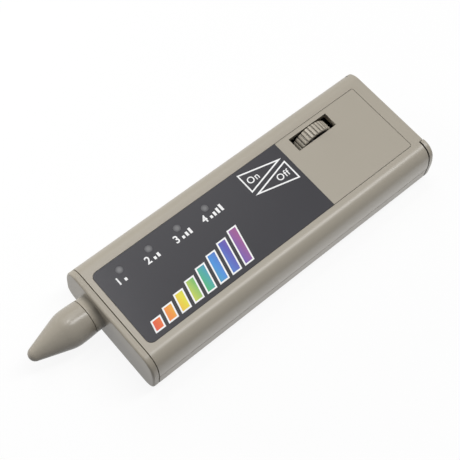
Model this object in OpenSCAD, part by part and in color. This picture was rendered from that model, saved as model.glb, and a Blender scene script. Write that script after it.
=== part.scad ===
// Pocket gemstone tester: a flat two-shell body with a covered thermal probe at the front,
// four lamps on the face label and a thumbwheel switch near the rear.
// Millimetres. X runs from the probe to the rear, Y to the lamp side, Z up from the base.
// Lengths along X are counted from the front edge of the two shells.

/* [Housing] */
// Length of the two shells
case_l = 112.8; // [112:0.2:118]
// Width of the body at its fullest
case_w = 42; // [40.5:0.5:45]
// Height from the base to the face
case_h = 16.8; // [16.6:0.1:18.5]
// Height of the joint between the shells
parting_h = 8.1; // [7.7:0.1:8.6]
// Radius between the face and the side
face_fillet = 5; // [4.5:0.1:5.5]
// Radius of the bulged side above the joint
side_r = 17; // [15:0.5:22]
// Radius between the base and the side
base_fillet = 4; // [4:0.1:5]
// Wall thickness of the shells
wall = 2; // [1.8:0.1:2.2]
// Thickness of the roof under the face plate
roof_t = 1.4; // [1.2:0.1:1.6]
// Width of the line between the shells
joint_gap = 0.25; // [0.1:0.05:0.3]
// Height of the lip that locates the shells
lip_h = 0.9; // [0.7:0.1:1.2]

/* [End caps] */
// Thickness of the front cap's outer plate
front_plate_t = 2.05; // [1.75:0.05:2.4]
// Gap between the front cap and the shells
front_gap = 0.25; // [0.2:0.05:0.5]
// Thickness of the rear cap's outer plate
rear_plate_t = 1.9; // [1.6:0.1:2.4]
// Gap between the rear cap and the shells
rear_gap = 0.4; // [0.2:0.05:0.5]
// Rounding of an end cap's outer edge
edge_r = 0.7; // [0.4:0.1:1]
// Height of the rib in the mouth of the shells
rib_h = 1; // [0.8:0.1:1.2]
// Length of the rib in the mouth of the shells
rib_l = 1.4; // [1:0.1:1.8]
// Length of the flange that the rib traps
flange_l = 1.2; // [1:0.1:1.6]
// Overhang of the face over the rear cap, all but its corner on the side away from the lamps
tongue_l = 1.7; // [1.2:0.1:1.8]
// Thickness of that overhang
tongue_t = 1.6; // [1.2:0.1:2]

/* [Face] */
// Width of the face plate and the label
face_w = 28; // [26:0.5:28.5]
// Thickness of the face plate
face_t = 1.2; // [1:0.1:1.4]
// Distance from the shells' front edge to the label
face_front = 2; // [1.6:0.1:3]
// Distance from the face plate to the shells' rear edge
face_rear = 2.8; // [2.4:0.1:4]
// Front corner radius of the label
face_corner = 2; // [1.5:0.1:3]
// Rear corner radius of the face plate
face_rear_corner = 0.7; // [0.5:0.1:2]
// Width of the seam round the face plate
seam = 0.1; // [0.1:0.05:0.25]
// Thickness of the label
label_t = 0.3; // [0.2:0.05:0.4]
// Distance from the label to the wheel slot
label_gap = 4.7; // [3:0.1:6]

/* [Lamps] */
// Distance from the shells' front edge to the first lamp
lamp_first = 9.8; // [9.2:0.1:11]
// Spacing of the lamps
lamp_pitch = 11.05; // [10:0.05:11.5]
// Distance of the lamp row from the middle of the body
lamp_y = 10.2; // [9.8:0.1:11]
// Diameter of a lamp window
lamp_d = 2.4; // [1.8:0.1:2.6]
// Diameter of a lamp's dome
led_d = 3; // [2.8:0.1:3]

/* [Thumbwheel] */
// Diameter of the wheel
wheel_d = 15; // [14:0.2:15]
// Width of the wheel
wheel_w = 4; // [3.8:0.05:4.2]
// Distance of the wheel from the middle of the body
wheel_y = 9.9; // [9.7:0.05:10.1]
// Height of the wheel above the face
wheel_proud = 0.9; // [0.5:0.1:1.2]
// Thickness of the wheel's rim round its hollow side
rim_t = 1.2; // [1:0.1:1.6]
// Distance from the wheel's axis to the shells' rear edge
wheel_rear = 24.1; // [22:0.1:28]
// Number of grooves round the wheel
wheel_grooves = 32; // [24:1:36]
// Width of a groove
groove_w = 0.55; // [0.4:0.05:0.7]
// Depth of a groove
groove_d = 0.5; // [0.3:0.05:0.7]
// Length of the wheel's slot
slot_l = 16.1; // [15.8:0.1:17]
// Distance of the slot's middle in front of the wheel's axis
slot_lead = 0.6; // [0:0.1:0.8]
// Depth of the slot's wall below the face
slot_depth = 2.2; // [1.6:0.1:2.3]
// Thickness of the slot's wall
slot_wall = 0.8; // [0.6:0.1:1]
// Diameter of the wheel's shaft
shaft_d = 3; // [2.6:0.1:3.2]

/* [Probe] */
// Distance of the probe from the middle of the body
probe_y = 7.5; // [5:0.1:8]
// Diameter of the collar on the front cap
collar_d = 11.6; // [11.2:0.1:11.9]
// Length of the collar
collar_l = 2.9; // [2:0.1:4]
// Diameter of the spigot that holds the probe cap
spigot_d = 9.2; // [8.6:0.1:9.4]
// Length of the spigot
spigot_l = 4.9; // [4:0.1:5.5]
// Length of the probe cap
probe_cap_l = 20.4; // [19.8:0.2:24]
// Diameter of the probe cap at its mouth
probe_cap_mouth_d = 11.7; // [11.4:0.1:12]
// Diameter of the probe cap at its fullest
probe_cap_d = 12.1; // [12:0.1:12.6]
// Half angle of the probe cap's cone
cone_angle = 18; // [16:0.5:19]
// Radius of the probe cap's nose
nose_r = 2.3; // [2:0.1:2.6]
// Diameter of the probe's sleeve
sleeve_d = 5; // [4.6:0.1:5.4]
// Length of the sleeve in front of the spigot
sleeve_reach = 3; // [2:0.1:4]
// Diameter of the sleeve's bore
sleeve_bore = 3.8; // [3.6:0.1:4]
// Diameter of the needle
needle_d = 1.6; // [1.4:0.1:1.8]
// Length of the needle in front of the sleeve
needle_reach = 6.5; // [5:0.1:7]

/* [Cells] */
// Diameter of a size AAA cell
cell_d = 10.5; // [10:0.1:10.5]
// Length of a size AAA cell
cell_l = 44.5; // [43.5:0.1:44.5]
// Room for a contact spring
spring_l = 4.4; // [4:0.1:5]
// Height of the bay walls
bay_h = 9.5; // [8.8:0.1:10]
// Thickness of the bay's end walls
bay_wall = 1.5; // [1.2:0.1:1.8]
// Thickness of the partition beside the wheel
partition_t = 1.15; // [1.1:0.05:1.2]
// Thickness of the battery door
door_t = 1.7; // [1.5:0.1:1.8]
// Width of the door's rails
rail_w = 0.5; // [0.4:0.05:0.55]
// Thickness of the door's rails
rail_t = 0.7; // [0.6:0.05:0.8]

/* [Circuit board] */
// Thickness of the board
board_t = 1.6; // [1:0.1:1.7]
// Height of the board's underside
board_h = 4.4; // [4:0.1:4.5]
// Clearance between the wheel and the strip of board beside it
strip_gap = 0.6; // [0.5:0.1:1]
// Diameter of the buzzer
buzzer_d = 12; // [10:0.5:12]
// Height of the buzzer
buzzer_h = 6.5; // [5:0.1:6.8]

/* [Fasteners] */
// Diameter of the posts for the case screws
post_d = 5.2; // [5:0.1:5.6]
// Diameter of the case screws
screw_d = 2.2; // [2:0.1:2.4]
// Diameter of the case screws' heads
head_d = 4; // [3.6:0.1:4.2]
// Depth of the case screws' heads below the base
head_depth = 2.4; // [2:0.1:3]
// Diameter of the board screws
board_screw_d = 1.6; // [1.4:0.1:1.8]

/* [Fits] */
// Clearance between pieces that are put together
fit = 0.15; // [0.1:0.01:0.2]
// Radial clearance of shafts and sliding pieces
running_fit = 0.05; // [0.03:0.01:0.08]
// Radial clearance of pieces that are pressed together
press_fit = 0.02; // [0.01:0.005:0.03]

/* [Hidden] */
$fn = 64;

// Colours
plastic = [0.67, 0.64, 0.59];
label_grey = [0.33, 0.33, 0.35];
lens_grey = [0.62, 0.62, 0.62];
board_green = [0.10, 0.33, 0.20];
black = [0.10, 0.10, 0.11];
steel = [0.72, 0.72, 0.74];
brass = [0.78, 0.62, 0.30];
copper = [0.72, 0.43, 0.28];
led_colours = [[0.85, 0.65, 0.15], [0.25, 0.65, 0.25], [0.80, 0.15, 0.12], [0.20, 0.35, 0.80]];

// Outline across the body
rise = case_h - parting_h;
side_c = case_w / 2 - side_r;
lean = asin((rise - face_fillet) / (side_r - face_fillet));
flat_y = side_c + (side_r - face_fillet) * cos(lean);
base_y = case_w / 2 - base_fillet;
roof_z = case_h - face_t - roof_t;
least_r = 0.2;

// End caps
cut = 1;
front_face = -front_gap - front_plate_t;
rear_face = case_l + rear_gap + rear_plate_t;
flange_start = rib_l + fit;
flange_end = flange_start + flange_l;
cap_ring = 1.1;
tongue_margin = 0.5;
tongue_y0 = -face_w / 2 - tongue_margin;
tongue_y1 = case_w / 2;

// Probe, counted along its own axis
probe_z = case_h / 2;
collar_end = front_face - collar_l;
cap_mouth = collar_end - fit;
cap_tip = cap_mouth - probe_cap_l;
spigot_end = collar_end - spigot_l;
sleeve_front = spigot_end - sleeve_reach;
sleeve_nose = 1.5;
sleeve_tail = 1.8;
sleeve_rear = flange_end + sleeve_tail;
boss_wall = 1.7;
boss_short = 0.8;
boss_end = flange_end - boss_short;
bush_head = 0.6;
bush_l = 6.65;
bush_rear = sleeve_rear + bush_head;
bush_front = bush_rear - bush_l;
needle_tip = sleeve_front - needle_reach;
needle_play = 0.2;
needle_flange_l = 2.8;
shoulder_front = sleeve_front + sleeve_nose + needle_play;
shoulder_rear = shoulder_front + needle_flange_l;
stem_d = 1.2;
stem_grip = 2.5;
stem_rear = bush_front + stem_grip;
heater_d = 2.4;
heater_l = 1.5;
lead_d = 0.6;
lead_y = 0.8;

// Battery bay, on the far side of a partition from the wheel
wheel_gap = 0.35;
wheel_y0 = wheel_y - wheel_w / 2;
wheel_y1 = wheel_y + wheel_w / 2;
cell_play = 0.3;
cell_gap = 0.2;
cell_z = door_t + cell_play + cell_d / 2;
bay_y1 = wheel_y0 - wheel_gap - partition_t;
bay_y0 = bay_y1 - 2 * cell_play - 2 * cell_d - cell_gap;
cell_y = [bay_y0 + cell_play + cell_d / 2, bay_y1 - cell_play - cell_d / 2];
contact_t = 0.4;
nub_l = 0.8;
bump_l = 0.6;
bay_end_gap = 0.5;
bay_rear = case_l - flange_end - bay_wall - bay_end_gap;
bay_front = bay_rear - 2 * contact_t - bump_l - cell_l - spring_l;
bay_mid = (bay_front + bay_rear) / 2;
door_z = 0.1;
rail_z = 0.7;
door_front = bay_front + fit;

// Thumbwheel and its switch
wheel_x = case_l - wheel_rear;
wheel_r = wheel_d / 2;
wheel_z = case_h + wheel_proud - wheel_r;
wheel_clear = 0.6;
slot_x0 = wheel_x - slot_lead - slot_l / 2;
slot_margin = [0.8, 0.5];
slot_y0 = wheel_y0 - slot_margin[0];
slot_y1 = wheel_y1 + slot_margin[1];
hub_wall = 1.1;
hub_d = shaft_d + 2 * hub_wall;
hub_l = 0.9;
recess_d = wheel_d - 2 * rim_t;
recess_depth = 1.5;
switch_gap = 0.2;
switch_y0 = wheel_y1 + hub_l + switch_gap;
switch_w = 2.4;
switch_r = roof_z - wheel_z - 2 * fit;
switch_back = 0.6;
shaft_end = switch_y0 + switch_w - switch_back;
label_end = slot_x0 - label_gap;
face_end = case_l - face_rear;

// Circuit board, which stops short of the posts
post_clear = 0.6;
bay_post_x = bay_front - bay_wall - post_d / 2 - 2 * fit;
rear_post_gap = 0.9;
rear_post_x = case_l - flange_end - post_d / 2 - rear_post_gap;
board_side = 1.2;
board_lead_in = 3.4;
board_top = board_h + board_t;
board_y = case_w / 2 - wall - board_side;
board_front = flange_end + board_lead_in;
board_rear = bay_post_x - post_d / 2 - post_clear;
arm_y = bay_y1 + partition_t + 2 * fit;
arm_end = wheel_x - wheel_r - strip_gap;
strip_y = wheel_y1 + strip_gap;
led_gap = 0.3;
led_top = roof_z - led_gap;
led_l = 5.3;
led_rim = 0.4;
lens_rim = 0.55;
lens_flange_t = 1;
lamp_x = [for (i = [0:3]) lamp_first + i * lamp_pitch];

// Screws
post_side = 5.5;
rear_post_in = 1;
post_y = case_w / 2 - post_side;
front_post_x = lamp_first + lamp_pitch / 2;
case_posts = [
    [front_post_x, post_y],
    [front_post_x, -post_y],
    [bay_post_x, -post_y],
    [rear_post_x, post_y - rear_post_in]
];
board_post_d = 4.4;
board_post_in = 3.1;
board_post_x = 20.8;
strip_end = rear_post_x - post_d / 2 - post_clear;
board_posts = [
    [board_front + board_post_x, board_post_in - board_y],
    [board_rear - board_post_in, board_post_in - board_y],
    [board_rear - board_post_in, board_y - board_post_in],
    [strip_end - board_post_in, (strip_y + board_y) / 2]
];
thread_h = 0.2;
pilot_d = screw_d - 2 * thread_h;
board_pilot_d = board_screw_d - 2 * thread_h;
head_h = 1.4;
case_screw_l = 9;
board_screw_l = 4;
board_head_d = 3;
board_head_h = 1;

// The part stands on the middle of its base
mid_x = (cap_tip + rear_face) / 2;

module centred() {
    translate([-mid_x, 0, 0]) children();
}

// Simple solids between two limits
module block(low, high) {
    translate(low) cube(high - low);
}

module rod_x(x0, x1, d) {
    translate([x0, 0, 0]) rotate([0, 90, 0]) cylinder(h = x1 - x0, d = d);
}

module rod_y(y0, y1, d) {
    translate([0, y0, 0]) rotate([-90, 0, 0]) cylinder(h = y1 - y0, d = d);
}

module rod_z(z0, z1, d) {
    translate([0, 0, z0]) cylinder(h = z1 - z0, d = d);
}

// Stretches an outline across the body from one X to another
module run(x0, x1) {
    translate([x0, 0, 0]) rotate([90, 0, 90]) linear_extrude(x1 - x0) children();
}

// Raises an outline seen from above
module slab(z0, z1) {
    translate([0, 0, z0]) linear_extrude(z1 - z0) children();
}

module band(z0, z1) {
    block([cap_tip, -case_w, z0], [rear_face + cut, case_w, z1]);
}

module on_probe() {
    translate([0, probe_y, probe_z]) children();
}

module on_wheel() {
    translate([wheel_x, 0, wheel_z]) children();
}

// Outline across the body, drawn in by a distance all round
module section(inset) {
    half = case_w / 2 - inset;
    base_r = max(base_fillet - inset, least_r);
    face_r = max(face_fillet - inset, least_r);
    translate([-half, inset + base_r]) square([2 * half, parting_h - inset - base_r]);
    translate([base_r - half, inset]) square([2 * (half - base_r), parting_h - inset]);
    translate([-flat_y, parting_h]) square([2 * flat_y, rise - inset]);
    for (s = [-1, 1]) {
        translate([s * (half - base_r), inset + base_r]) circle(base_r);
        translate([s * flat_y, case_h - face_fillet]) circle(face_r);
        intersection() {
            translate([s * side_c, parting_h]) circle(side_r - inset);
            polygon([
                [s * side_c, parting_h],
                [s * case_w, parting_h],
                [s * case_w, parting_h + (case_w - side_c) * tan(lean)]
            ]);
        }
    }
}

// Hollow of the shells, drawn in by a distance all round
module hollow(inset) {
    intersection() {
        section(wall + inset);
        translate([-case_w, wall + inset]) square([2 * case_w, roof_z - wall - 2 * inset]);
    }
}

module cavity() {
    run(rib_l, case_l - rib_l) hollow(0);
    run(-cut, case_l + cut) hollow(rib_h);
}

// The same outline as points, for the rounded edges of the end caps
function arc(c, r, a0, a1, steps) = [
    for (i = [0:steps]) c + r * [cos(a0 + (a1 - a0) * i / steps), sin(a0 + (a1 - a0) * i / steps)]
];

function half_ring(inset) = concat(
    arc([base_y, base_fillet], base_fillet - inset, -90, 0, 8),
    arc([side_c, parting_h], side_r - inset, 0, lean * 3 / 4, 3),
    arc([flat_y, case_h - face_fillet], face_fillet - inset, lean, 90, 8)
);

function ring(inset) = let (right = half_ring(inset), n = len(right)) concat(
    right,
    [for (i = [n - 1:-1:0]) [-right[i][0], right[i][1]]]
);

// Plate whose outer edge is rounded, from its inner face at x0 to its outer face
module rounded_plate(x0, thick, outward) {
    steps = 5;
    turns = concat(
        [[0, 0]],
        [for (i = [0:steps])
            let (a = 90 * i / steps)
            [thick - edge_r + edge_r * sin(a), edge_r * (1 - cos(a))]]
    );
    rings = [for (t = turns) [for (p = ring(t[1])) [x0 + outward * t[0], p[0], p[1]]]];
    n = len(rings[0]);
    last = len(rings) - 1;
    sides = [
        for (k = [0:last - 1], i = [0:n - 1])
            let (a = k * n + i, b = k * n + (i + 1) % n)
            each [[a, b, b + n], [a, b + n, a + n]]
    ];
    ends = [[for (i = [0:n - 1]) n - 1 - i], [for (i = [0:n - 1]) last * n + i]];
    faces = concat(sides, ends);
    polyhedron(
        points = [for (r = rings, p = r) p],
        faces = outward < 0 ? faces : [for (f = faces) [for (i = [len(f) - 1:-1:0]) f[i]]]
    );
}

// Tube of wire along a path
function unit(v) = v / norm(v);

function wire_ring(path, i, r, sides, across) =
    let (
        last = len(path) - 1,
        t = unit(path[min(i + 1, last)] - path[max(i - 1, 0)]),
        u = unit(cross(t, across)),
        v = cross(t, u)
    )
    [for (j = [0:sides - 1]) path[i] + r * (cos(360 * j / sides) * u + sin(360 * j / sides) * v)];

module wire(path, d, sides, across) {
    last = len(path) - 1;
    points = [for (i = [0:last]) each wire_ring(path, i, d / 2, sides, across)];
    skin = [
        for (i = [0:last - 1], j = [0:sides - 1])
            let (a = i * sides + j, b = i * sides + (j + 1) % sides)
            each [[a, b + sides, b], [a, a + sides, b + sides]]
    ];
    ends = [[for (j = [0:sides - 1]) j], [for (j = [0:sides - 1]) last * sides + sides - 1 - j]];
    polyhedron(points = points, faces = concat(skin, ends));
}

// Path of a coil round the X axis
function coil(x0, x1, r0, r1, turns, steps) = [
    for (i = [0:turns * steps])
        let (k = i / (turns * steps), a = 360 * i / steps)
        [x0 + (x1 - x0) * k, (r0 + (r1 - r0) * k) * cos(a), (r0 + (r1 - r0) * k) * sin(a)]
];

// Face plate and label, seen from above
module face_outline(x1, grow, rear_r) {
    x0 = face_front - grow;
    y = face_w / 2 + grow;
    front_r = face_corner + grow;
    translate([x0 + front_r, -y]) square([x1 + grow - rear_r - x0 - front_r, 2 * y]);
    translate([x0, front_r - y]) square([x1 + grow - x0, 2 * (y - front_r)]);
    translate([x1 + grow - rear_r - front_r, rear_r - y]) square([rear_r + front_r, 2 * (y - rear_r)]);
    for (s = [-1, 1]) {
        translate([x0 + front_r, s * (y - front_r)]) circle(front_r);
        translate([x1 + grow - rear_r, s * (y - rear_r)]) circle(rear_r);
    }
}

module slot_outline(grow) {
    translate([slot_x0 - grow, slot_y0 - grow])
        square([slot_l + 2 * grow, slot_y1 - slot_y0 + 2 * grow]);
}

// Pegs that hold the face plate in the roof
peg_d = 2;
peg_y = 2.5;
peg_inset = 4.5;
peg_x = [face_front + peg_inset, slot_x0 - peg_inset, face_end - peg_inset];

module pegs(z0, z1, d) {
    for (x = peg_x, s = [-1, 1]) {
        translate([x, s * peg_y, 0]) rod_z(z0, z1, d);
    }
}

// Housing
module case_posts(z0, z1, d) {
    for (p = case_posts) {
        translate([p[0], p[1], 0]) rod_z(z0, z1, d);
    }
}

module board_posts(z0, z1, d) {
    for (p = board_posts) {
        translate([p[0], p[1], 0]) rod_z(z0, z1, d);
    }
}

module cells(grow) {
    for (y = cell_y) {
        translate([0, y, cell_z]) rod_x(bay_front, bay_rear, cell_d + 2 * grow);
    }
}

module cradle_ribs() {
    rib_t = 1.2;
    rib_low = 2;
    for (k = [-1:1]) {
        x = bay_mid + k * cell_l / 3;
        block(
            [x - rib_t / 2, bay_y0 + fit, cell_z + rib_low],
            [x + rib_t / 2, bay_y1 - fit, roof_z + roof_t / 2]
        );
    }
}

module top_shell() {
    lip_top = parting_h + lip_h + fit;
    post_cap = 1;
    color(plastic) difference() {
        union() {
            difference() {
                run(0, case_l) section(0);
                band(-cut, parting_h + joint_gap / 2);
                cavity();
                intersection() {
                    run(-cut, case_l + cut) section(wall / 2);
                    band(0, lip_top);
                }
            }
            intersection() {
                run(0, case_l + rear_gap + tongue_l) section(0);
                block(
                    [case_l - cut, tongue_y0, case_h - tongue_t],
                    [case_l + tongue_l, tongue_y1, case_h + cut]
                );
            }
            intersection() {
                run(0, case_l) section(wall / 2);
                case_posts(parting_h + joint_gap / 2, roof_z + roof_t / 2, post_d);
            }
            cradle_ribs();
        }
        slab(case_h - face_t, case_h + cut) face_outline(face_end, seam, face_rear_corner + seam);
        slab(roof_z - cut, case_h) slot_outline(slot_wall + fit);
        for (x = lamp_x) {
            translate([x, lamp_y, 0]) rod_z(roof_z - cut, case_h, lamp_d + 2 * lens_rim + 2 * fit);
        }
        pegs(roof_z - cut, case_h, peg_d + 2 * press_fit);
        case_posts(0, roof_z - post_cap, pilot_d);
        cells(cell_play);
    }
}

module bay_walls() {
    side_t = 2.1;
    low = [bay_front - bay_wall, bay_y0 - side_t, 0];
    high = [bay_rear + bay_wall, bay_y1 + partition_t, bay_h];
    intersection() {
        run(0, case_l) section(wall / 2);
        difference() {
            block(low, high);
            block([bay_front, bay_y0, -cut], [bay_rear, bay_y1, bay_h + cut]);
        }
    }
}

module bottom_shell() {
    lip_fit = 0.08;
    lip_root = 1;
    groove_y = rail_w + fit;
    color(plastic) difference() {
        union() {
            difference() {
                run(0, case_l) section(0);
                band(parting_h - joint_gap / 2, case_h + cut);
                cavity();
            }
            intersection() {
                difference() {
                    run(0, case_l) section(wall / 2 + lip_fit);
                    cavity();
                }
                band(parting_h - lip_root, parting_h + lip_h);
            }
            case_posts(wall / 2, parting_h - joint_gap / 2, post_d);
            board_posts(wall / 2, board_h, board_post_d);
            bay_walls();
        }
        block([bay_front, bay_y0, -cut], [case_l + cut, bay_y1, door_t + fit]);
        block(
            [bay_front, bay_y0 - groove_y, rail_z - fit],
            [case_l + cut, bay_y1 + groove_y, rail_z + rail_t + fit]
        );
        on_wheel() rod_y(wheel_y0 - wheel_gap / 2, wheel_y1 + wheel_gap / 2, wheel_d + 2 * wheel_clear);
        case_posts(-cut, parting_h, screw_d + 2 * fit);
        case_posts(-cut, head_depth, head_d + 2 * fit);
        board_posts(wall, board_h + cut, board_pilot_d);
    }
}

// Plate, neck and trapped flange that both end caps share
module end_cap_ring(x0, x1, inset) {
    difference() {
        run(x0, x1) hollow(inset);
        run(x0 - cut, x1 + cut) hollow(rib_h + fit + cap_ring);
    }
}

module front_end_cap() {
    color(plastic) difference() {
        union() {
            rounded_plate(-front_gap, front_plate_t, -1);
            end_cap_ring(-front_gap, flange_end, rib_h + fit);
            end_cap_ring(flange_start, flange_end, fit);
            on_probe() rod_x(collar_end, -front_gap, collar_d);
            on_probe() rod_x(spigot_end, collar_end, spigot_d);
            on_probe() rod_x(-front_gap - front_plate_t / 2, boss_end, sleeve_d + 2 * boss_wall);
        }
        on_probe() rod_x(spigot_end - cut, boss_end + cut, sleeve_d + 2 * press_fit);
    }
}

module rear_end_cap() {
    door_y = [bay_y0 - fit, bay_y1 + fit];
    color(plastic) difference() {
        union() {
            rounded_plate(case_l + rear_gap, rear_plate_t, 1);
            end_cap_ring(case_l - flange_end, case_l + rear_gap, rib_h + fit);
            end_cap_ring(case_l - flange_end, case_l - flange_start, fit);
        }
        block(
            [case_l - cut, tongue_y0 - fit, case_h - tongue_t - fit],
            [rear_face + cut, tongue_y1 + cut, case_h + cut]
        );
        block([case_l, door_y[0] - rail_w, -cut], [rear_face + cut, door_y[1] + rail_w, door_t + 2 * fit]);
    }
}

// Face
module face_plate() {
    color(plastic) difference() {
        union() {
            slab(case_h - face_t, case_h) face_outline(face_end, 0, face_rear_corner);
            slab(case_h - slot_depth, case_h - face_t / 2) slot_outline(slot_wall);
            pegs(roof_z, case_h - face_t / 2, peg_d);
        }
        slab(case_h - label_t, case_h + cut) {
            translate([face_front - cut, -face_w]) square([label_end - face_front + cut, 2 * face_w]);
        }
        slab(case_h - slot_depth - cut, case_h + cut) slot_outline(0);
        for (x = lamp_x) {
            translate([x, lamp_y, 0]) rod_z(roof_z, case_h + cut, lamp_d + 2 * press_fit);
        }
    }
}

module face_label() {
    color(label_grey) difference() {
        slab(case_h - label_t, case_h) {
            intersection() {
                face_outline(face_end, 0, face_rear_corner);
                translate([face_front, -face_w]) square([label_end - face_front, 2 * face_w]);
            }
        }
        for (x = lamp_x) {
            translate([x, lamp_y, 0]) rod_z(roof_z, case_h + cut, lamp_d + 2 * press_fit);
        }
    }
}

module lamp_windows() {
    flange_z = case_h - face_t;
    lens_gap = 0.1;
    color(lens_grey) for (x = lamp_x) {
        translate([x, lamp_y, 0]) {
            rod_z(led_top + lens_gap, case_h, lamp_d);
            rod_z(flange_z - lens_flange_t, flange_z, lamp_d + 2 * lens_rim);
        }
    }
}

// Thumbwheel and switch
module thumbwheel() {
    chamfer = 0.3;
    color(plastic) on_wheel() difference() {
        union() {
            translate([0, wheel_y0, 0]) rotate([-90, 0, 0]) rotate_extrude() polygon([
                [0, 0],
                [wheel_r - chamfer, 0],
                [wheel_r, chamfer],
                [wheel_r, wheel_w - chamfer],
                [wheel_r - chamfer, wheel_w],
                [0, wheel_w]
            ]);
            rod_y(wheel_y1 - cut, wheel_y1 + hub_l, hub_d);
        }
        for (i = [0:wheel_grooves - 1]) {
            rotate([0, 360 * i / wheel_grooves, 0]) block(
                [-groove_w / 2, wheel_y0 - cut, wheel_r - groove_d],
                [groove_w / 2, wheel_y1 + cut, wheel_r + cut]
            );
        }
        rod_y(wheel_y0 - cut, wheel_y0 + recess_depth, recess_d);
        rod_y(wheel_y0, wheel_y1 + hub_l + cut, shaft_d + 2 * press_fit);
    }
}

wheel_screw_l = 3;

module wheel_shaft() {
    y0 = wheel_y0 + recess_depth;
    color(steel) on_wheel() difference() {
        rod_y(y0, shaft_end, shaft_d);
        rod_y(y0 - cut, y0 + wheel_screw_l + fit, board_screw_d + 2 * press_fit);
    }
}

module wheel_screw() {
    y0 = wheel_y0 + recess_depth;
    wide = 4.4;
    head_t = 1.2;
    drive_w = 0.6;
    drive_t = 0.5;
    color(steel) on_wheel() difference() {
        union() {
            rod_y(y0 - head_t, y0, wide);
            rod_y(y0 - head_t / 2, y0 + wheel_screw_l, board_screw_d);
        }
        block(
            [-wide, y0 - head_t - cut, -drive_w / 2],
            [wide, y0 - head_t + drive_t, drive_w / 2]
        );
    }
}

module switch_body() {
    color(black) difference() {
        union() {
            on_wheel() rod_y(switch_y0, switch_y0 + switch_w, 2 * switch_r);
            block(
                [wheel_x - switch_r, switch_y0, board_top],
                [wheel_x + switch_r, switch_y0 + switch_w, wheel_z]
            );
        }
        on_wheel() rod_y(switch_y0 - cut, shaft_end + running_fit, shaft_d + 2 * running_fit);
        block(
            [wheel_x - 2 * switch_r, switch_y0 - cut, 0],
            [wheel_x + 2 * switch_r, switch_y0 + switch_w + cut, board_top]
        );
    }
}

module switch_terminals() {
    y0 = switch_y0 + switch_w;
    pitch = 1;
    half_w = 0.25;
    strip_t = 0.4;
    foot_l = 0.7;
    short = 1;
    color(brass) for (k = [-2:2]) {
        translate([wheel_x + k * pitch, y0, 0]) {
            block([-half_w, 0, board_top], [half_w, strip_t, wheel_z - short]);
            block([-half_w, 0, board_top], [half_w, foot_l, board_top + strip_t]);
        }
    }
}

// Circuit board
module board_outline() {
    translate([board_front, -board_y]) square([board_rear - board_front, 2 * board_y]);
    translate([board_rear - cut, arm_y]) square([arm_end - board_rear + cut, board_y - arm_y]);
    translate([arm_end - cut, strip_y]) square([strip_end - arm_end + cut, board_y - strip_y]);
}

module circuit_board() {
    notch = post_d + 2 * post_clear;
    color(board_green) difference() {
        slab(board_h, board_top) board_outline();
        case_posts(0, case_h, notch);
        for (s = [-1, 1]) {
            y = s * (post_y + case_w / 4);
            translate([front_post_x, y, board_h]) cube([notch, case_w / 2, 3 * board_t], center = true);
        }
        board_posts(0, case_h, board_screw_d + 2 * fit);
    }
}

module indicator_led(i) {
    r = led_d / 2;
    rim_h = 1;
    color(led_colours[i - 1]) translate([lamp_x[i - 1], lamp_y, 0]) {
        rod_z(led_top - led_l, led_top - led_l + rim_h, led_d + 2 * led_rim);
        rod_z(led_top - led_l, led_top - r, led_d);
        translate([0, 0, led_top - r]) sphere(r);
    }
}

module led_spacers() {
    color(black) for (x = lamp_x) {
        translate([x, lamp_y, 0]) rod_z(board_top, led_top - led_l, led_d + led_rim);
    }
}

// Chip with a row of bent legs on both sides
module chip(at, size, legs) {
    stand = 0.2;
    leg_w = 0.45;
    leg_t = 0.25;
    leg_out = 1;
    foot_l = 2.2;
    shin_t = 0.4;
    body_y = size[1] / 2;
    leg_z = stand + size[2] / 2;
    translate([at[0], at[1], board_top]) {
        translate([-size[0] / 2, -body_y, stand]) cube(size);
        for (i = [0:legs - 1], s = [0, 1]) {
            x = (i - (legs - 1) / 2) * leg_pitch;
            mirror([0, s, 0]) translate([x - leg_w / 2, body_y, 0]) {
                translate([0, -shin_t, leg_z]) cube([leg_w, leg_out + shin_t, leg_t]);
                translate([0, leg_out - shin_t, 0]) cube([leg_w, shin_t, leg_z + leg_t]);
                translate([0, leg_out - shin_t, 0]) cube([leg_w, foot_l - leg_out + shin_t, leg_t]);
            }
        }
    }
}

// Places on the board, on a grid counted from its front edge and from the middle of the body
board_grid = 0.5;
leg_pitch = 1.27;

function on_board(u, v) = [board_front + u * board_grid, v * board_grid];

controller_at = on_board(22, -6);
amplifier_at = on_board(40, 10);
trimmer_at = on_board(31, -23);
regulator_at = on_board(6, -6);
capacitor_at = [on_board(6, -17), on_board(6, -26)];
resistor_at = [for (i = [0:5]) on_board(5 + 4.6 * i, 10.4)];

// The buzzer stands between the landings of the battery leads
lead_landing = 1.5;
buzzer_at = [board_rear - buzzer_d / 2 - lead_landing, (cell_y[0] + cell_y[1]) / 2];

module controller_chip() {
    size = [10.3, 6, 2.3];
    color(black) chip(controller_at, size, 8);
}

module amplifier_chip() {
    size = [4.9, 3.2, 1.6];
    color(black) chip(amplifier_at, size, 4);
}

module buzzer() {
    sound_d = 2;
    sound_depth = 1.5;
    top = board_top + buzzer_h;
    color(black) translate([buzzer_at[0], buzzer_at[1], 0]) difference() {
        rod_z(board_top, top, buzzer_d);
        rod_z(top - sound_depth, top + cut, sound_d);
    }
}

module capacitors() {
    can_d = 4;
    can_h = 6;
    crimp_z = 0.9;
    crimp_r = 0.3;
    color([0.15, 0.2, 0.4]) for (at = capacitor_at) {
        translate([at[0], at[1], 0]) difference() {
            rod_z(board_top, board_top + can_h, can_d);
            translate([0, 0, board_top + crimp_z]) rotate_extrude() translate([can_d / 2, 0]) circle(crimp_r);
        }
    }
}

module resistors() {
    size = [1.6, 3.2, 0.6];
    color(black) for (at = resistor_at) {
        translate([at[0] - size[0] / 2, at[1] - size[1] / 2, board_top]) cube(size);
    }
}

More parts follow.
